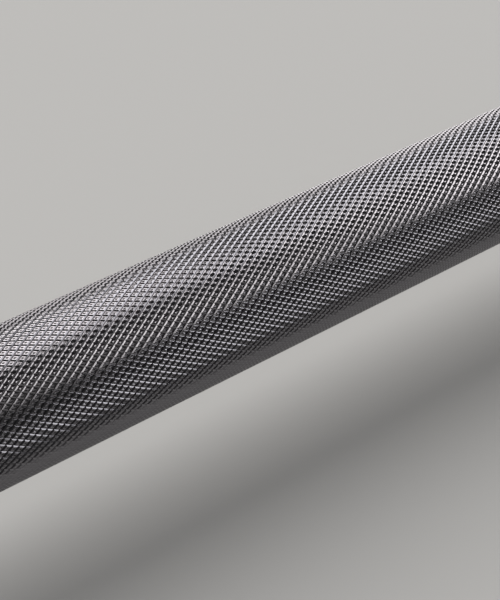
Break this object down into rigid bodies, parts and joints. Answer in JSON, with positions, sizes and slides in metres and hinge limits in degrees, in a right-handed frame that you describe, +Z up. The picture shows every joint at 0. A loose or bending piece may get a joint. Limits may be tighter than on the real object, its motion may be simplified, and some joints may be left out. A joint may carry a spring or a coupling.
{
  "type": "olympic barbell",
  "caption": "Long steel weightlifting bar with diamond-knurled grip bands and, at each end, a collar and a plate sleeve that turns on needle bearings.",
  "frame": {"origin": "middle of the bar, on its axis", "axes": "+X along the bar to the right sleeve, +Y away from the lifter, +Z up"},
  "size_m": [2.2, 0.075, 0.075],
  "materials": {
    "shaft_steel": "dark satin plating over knurled spring steel, brighter on the worn crests",
    "sleeve_chrome": "hard chrome over turned steel",
    "collar_chrome": "polished hard chrome",
    "bearing_steel": "hardened and ground bearing steel",
    "cage_steel": "pressed steel, oiled",
    "washer_bronze": "sintered bronze",
    "spring_steel": "blackened spring steel",
    "cap_aluminium": "turned and black anodised",
    "seal_rubber": "moulded nitrile rubber"
  },
  "bodies": {
    "shaft": {"shaft": "shaft_steel", "left_shaft_retaining_ring": "spring_steel", "right_shaft_retaining_ring": "spring_steel"},
    "left_sleeve": {"left_sleeve": "sleeve_chrome", "left_collar": "collar_chrome", "left_dust_seal": "seal_rubber", "left_inner_thrust_washer": "washer_bronze", "left_outer_thrust_washer": "washer_bronze", "left_end_cap": "cap_aluminium", "left_end_cap_seal": "seal_rubber", "left_end_cap_retaining_ring": "spring_steel", "left_bearing_1_cup": "bearing_steel", "left_bearing_2_cup": "bearing_steel", "left_bearing_3_cup": "bearing_steel", "left_bearing_4_cup": "bearing_steel"},
    "left_rollers_1": {"left_bearing_1_cage": "cage_steel", "left_bearing_1_needles": "bearing_steel"},
    "left_rollers_2": {"left_bearing_2_cage": "cage_steel", "left_bearing_2_needles": "bearing_steel"},
    "left_rollers_3": {"left_bearing_3_cage": "cage_steel", "left_bearing_3_needles": "bearing_steel"},
    "left_rollers_4": {"left_bearing_4_cage": "cage_steel", "left_bearing_4_needles": "bearing_steel"},
    "right_sleeve": {"right_sleeve": "sleeve_chrome", "right_collar": "collar_chrome", "right_dust_seal": "seal_rubber", "right_inner_thrust_washer": "washer_bronze", "right_outer_thrust_washer": "washer_bronze", "right_end_cap": "cap_aluminium", "right_end_cap_seal": "seal_rubber", "right_end_cap_retaining_ring": "spring_steel", "right_bearing_1_cup": "bearing_steel", "right_bearing_2_cup": "bearing_steel", "right_bearing_3_cup": "bearing_steel", "right_bearing_4_cup": "bearing_steel"},
    "right_rollers_1": {"right_bearing_1_cage": "cage_steel", "right_bearing_1_needles": "bearing_steel"},
    "right_rollers_2": {"right_bearing_2_cage": "cage_steel", "right_bearing_2_needles": "bearing_steel"},
    "right_rollers_3": {"right_bearing_3_cage": "cage_steel", "right_bearing_3_needles": "bearing_steel"},
    "right_rollers_4": {"right_bearing_4_cage": "cage_steel", "right_bearing_4_needles": "bearing_steel"}
  },
  "joints": [
    {"name": "left_sleeve_spin", "type": "hinge", "parent": "shaft", "child": "left_sleeve", "pos_m": [-0.875, 0, 0], "axis": [1, 0, 0], "continuous": true},
    {"name": "left_rollers_1_spin", "type": "hinge", "parent": "shaft", "child": "left_rollers_1", "pos_m": [-0.875, 0, 0], "axis": [1, 0, 0], "continuous": true},
    {"name": "left_rollers_2_spin", "type": "hinge", "parent": "shaft", "child": "left_rollers_2", "pos_m": [-0.875, 0, 0], "axis": [1, 0, 0], "continuous": true},
    {"name": "left_rollers_3_spin", "type": "hinge", "parent": "shaft", "child": "left_rollers_3", "pos_m": [-0.875, 0, 0], "axis": [1, 0, 0], "continuous": true},
    {"name": "left_rollers_4_spin", "type": "hinge", "parent": "shaft", "child": "left_rollers_4", "pos_m": [-0.875, 0, 0], "axis": [1, 0, 0], "continuous": true},
    {"name": "right_sleeve_spin", "type": "hinge", "parent": "shaft", "child": "right_sleeve", "pos_m": [0.875, 0, 0], "axis": [1, 0, 0], "continuous": true},
    {"name": "right_rollers_1_spin", "type": "hinge", "parent": "shaft", "child": "right_rollers_1", "pos_m": [0.875, 0, 0], "axis": [1, 0, 0], "continuous": true},
    {"name": "right_rollers_2_spin", "type": "hinge", "parent": "shaft", "child": "right_rollers_2", "pos_m": [0.875, 0, 0], "axis": [1, 0, 0], "continuous": true},
    {"name": "right_rollers_3_spin", "type": "hinge", "parent": "shaft", "child": "right_rollers_3", "pos_m": [0.875, 0, 0], "axis": [1, 0, 0], "continuous": true},
    {"name": "right_rollers_4_spin", "type": "hinge", "parent": "shaft", "child": "right_rollers_4", "pos_m": [0.875, 0, 0], "axis": [1, 0, 0], "continuous": true}
  ],
  "couplings": [
    {"joint": "left_rollers_1_spin", "follows": "left_sleeve_spin", "ratio": 0.54644},
    {"joint": "left_rollers_2_spin", "follows": "left_sleeve_spin", "ratio": 0.54644},
    {"joint": "left_rollers_3_spin", "follows": "left_sleeve_spin", "ratio": 0.54644},
    {"joint": "left_rollers_4_spin", "follows": "left_sleeve_spin", "ratio": 0.54644},
    {"joint": "right_rollers_1_spin", "follows": "right_sleeve_spin", "ratio": 0.54644},
    {"joint": "right_rollers_2_spin", "follows": "right_sleeve_spin", "ratio": 0.54644},
    {"joint": "right_rollers_3_spin", "follows": "right_sleeve_spin", "ratio": 0.54644},
    {"joint": "right_rollers_4_spin", "follows": "right_sleeve_spin", "ratio": 0.54644}
  ]
}
